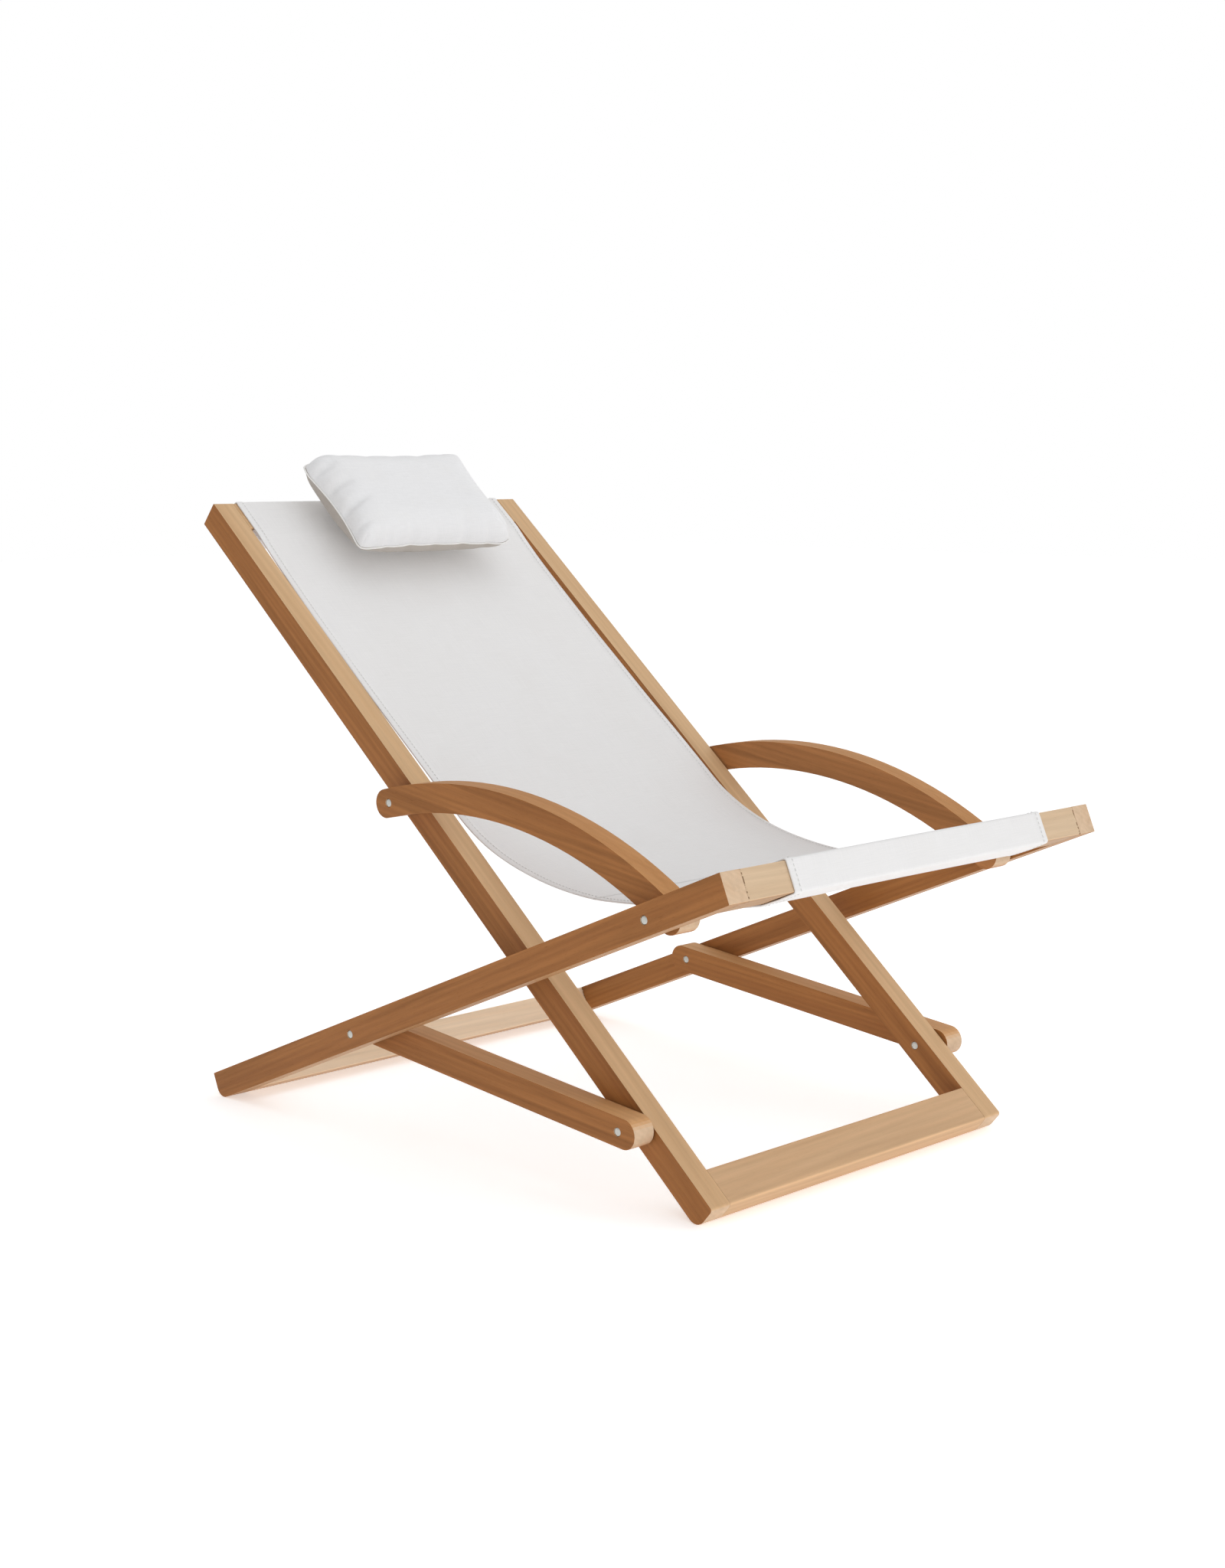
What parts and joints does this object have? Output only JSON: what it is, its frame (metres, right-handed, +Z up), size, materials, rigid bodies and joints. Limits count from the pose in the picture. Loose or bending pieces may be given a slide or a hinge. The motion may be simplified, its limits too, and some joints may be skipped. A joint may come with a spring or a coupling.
{
  "type": "folding deck chair",
  "caption": "Folding deck chair with two crossed timber frames, bent armrests, lower struts, a canvas sling seat and a head pillow.",
  "frame": {"origin": "middle of the footprint, on the ground, in the plane of symmetry", "axes": "+Z up, +X to the sitter's left, +Y to the rear: the sitter faces -Y. The chair is open, ready for use."},
  "size_m": [0.63, 0.9532, 0.7947],
  "materials": {
    "oiled_hardwood": "oiled tropical hardwood, warm brown, satin",
    "dowel_beech": "plain beech, hidden in the joints",
    "bolt_metal": "stainless, satin",
    "spacer_nylon": "natural nylon",
    "canvas": "off-white plain weave canvas"
  },
  "bodies": {
    "back_frame": {"back_rail_left": "oiled_hardwood", "back_rail_right": "oiled_hardwood", "back_top_bar": "oiled_hardwood", "back_foot_bar": "oiled_hardwood", "back_foot_bar_dowel_left_1": "dowel_beech", "back_foot_bar_dowel_left_2": "dowel_beech", "back_foot_bar_dowel_right_1": "dowel_beech", "back_foot_bar_dowel_right_2": "dowel_beech", "back_top_bar_dowel_left_1": "dowel_beech", "back_top_bar_dowel_left_2": "dowel_beech", "back_top_bar_dowel_right_1": "dowel_beech", "back_top_bar_dowel_right_2": "dowel_beech", "armrest_back_left_bolt": "bolt_metal", "armrest_back_left_nut": "bolt_metal", "armrest_back_left_spacer": "spacer_nylon", "armrest_back_right_bolt": "bolt_metal", "armrest_back_right_nut": "bolt_metal", "armrest_back_right_spacer": "spacer_nylon", "strut_back_left_bolt": "bolt_metal", "strut_back_left_nut": "bolt_metal", "strut_back_left_spacer": "spacer_nylon", "strut_back_right_bolt": "bolt_metal", "strut_back_right_nut": "bolt_metal", "strut_back_right_spacer": "spacer_nylon", "sling": "canvas", "head_pillow": "canvas"},
    "armrest_left": {"armrest_left": "oiled_hardwood"},
    "armrest_right": {"armrest_right": "oiled_hardwood"},
    "seat_frame": {"seat_rail_left": "oiled_hardwood", "seat_rail_right": "oiled_hardwood", "seat_front_bar": "oiled_hardwood", "seat_rear_bar": "oiled_hardwood", "seat_front_bar_dowel_left_1": "dowel_beech", "seat_front_bar_dowel_left_2": "dowel_beech", "seat_front_bar_dowel_right_1": "dowel_beech", "seat_front_bar_dowel_right_2": "dowel_beech", "seat_rear_bar_dowel_left_1": "dowel_beech", "seat_rear_bar_dowel_left_2": "dowel_beech", "seat_rear_bar_dowel_right_1": "dowel_beech", "seat_rear_bar_dowel_right_2": "dowel_beech", "armrest_seat_left_bolt": "bolt_metal", "armrest_seat_left_nut": "bolt_metal", "armrest_seat_left_spacer": "spacer_nylon", "armrest_seat_right_bolt": "bolt_metal", "armrest_seat_right_nut": "bolt_metal", "armrest_seat_right_spacer": "spacer_nylon", "strut_seat_left_bolt": "bolt_metal", "strut_seat_right_bolt": "bolt_metal"},
    "strut_left": {"strut_left": "oiled_hardwood", "strut_seat_left_nut": "bolt_metal", "strut_seat_left_spacer": "spacer_nylon"},
    "strut_right": {"strut_right": "oiled_hardwood", "strut_seat_right_nut": "bolt_metal", "strut_seat_right_spacer": "spacer_nylon"}
  },
  "joints": [
    {"name": "armrest_left_fold", "type": "hinge", "parent": "back_frame", "child": "armrest_left", "pos_m": [0.269, 0.08053, 0.39857], "axis": [-1, 0, 0], "range_deg": [0, 140], "deforming": ["sling", "head_pillow"]},
    {"name": "armrest_right_fold", "type": "hinge", "parent": "back_frame", "child": "armrest_right", "pos_m": [-0.269, 0.08053, 0.39857], "axis": [-1, 0, 0], "range_deg": [0, 140]},
    {"name": "seat_frame_turn", "type": "hinge", "parent": "armrest_left", "child": "seat_frame", "pos_m": [0.269, -0.35879, 0.32934], "axis": [1, 0, 0], "range_deg": [0, 33]},
    {"name": "strut_left_turn", "type": "hinge", "parent": "back_frame", "child": "strut_left", "pos_m": [0.269, -0.28947, 0.0881], "axis": [1, 0, 0], "range_deg": [0, 33]},
    {"name": "strut_right_turn", "type": "hinge", "parent": "back_frame", "child": "strut_right", "pos_m": [-0.269, -0.28947, 0.0881], "axis": [1, 0, 0], "range_deg": [0, 33]}
  ],
  "couplings": [
    {"joint": "armrest_right_fold", "follows": "armrest_left_fold", "ratio": 1},
    {"joint": "seat_frame_turn", "follows": "armrest_left_fold", "ratio": 0.23121},
    {"joint": "strut_left_turn", "follows": "armrest_left_fold", "ratio": 0.23384},
    {"joint": "strut_right_turn", "follows": "armrest_left_fold", "ratio": 0.23384}
  ]
}
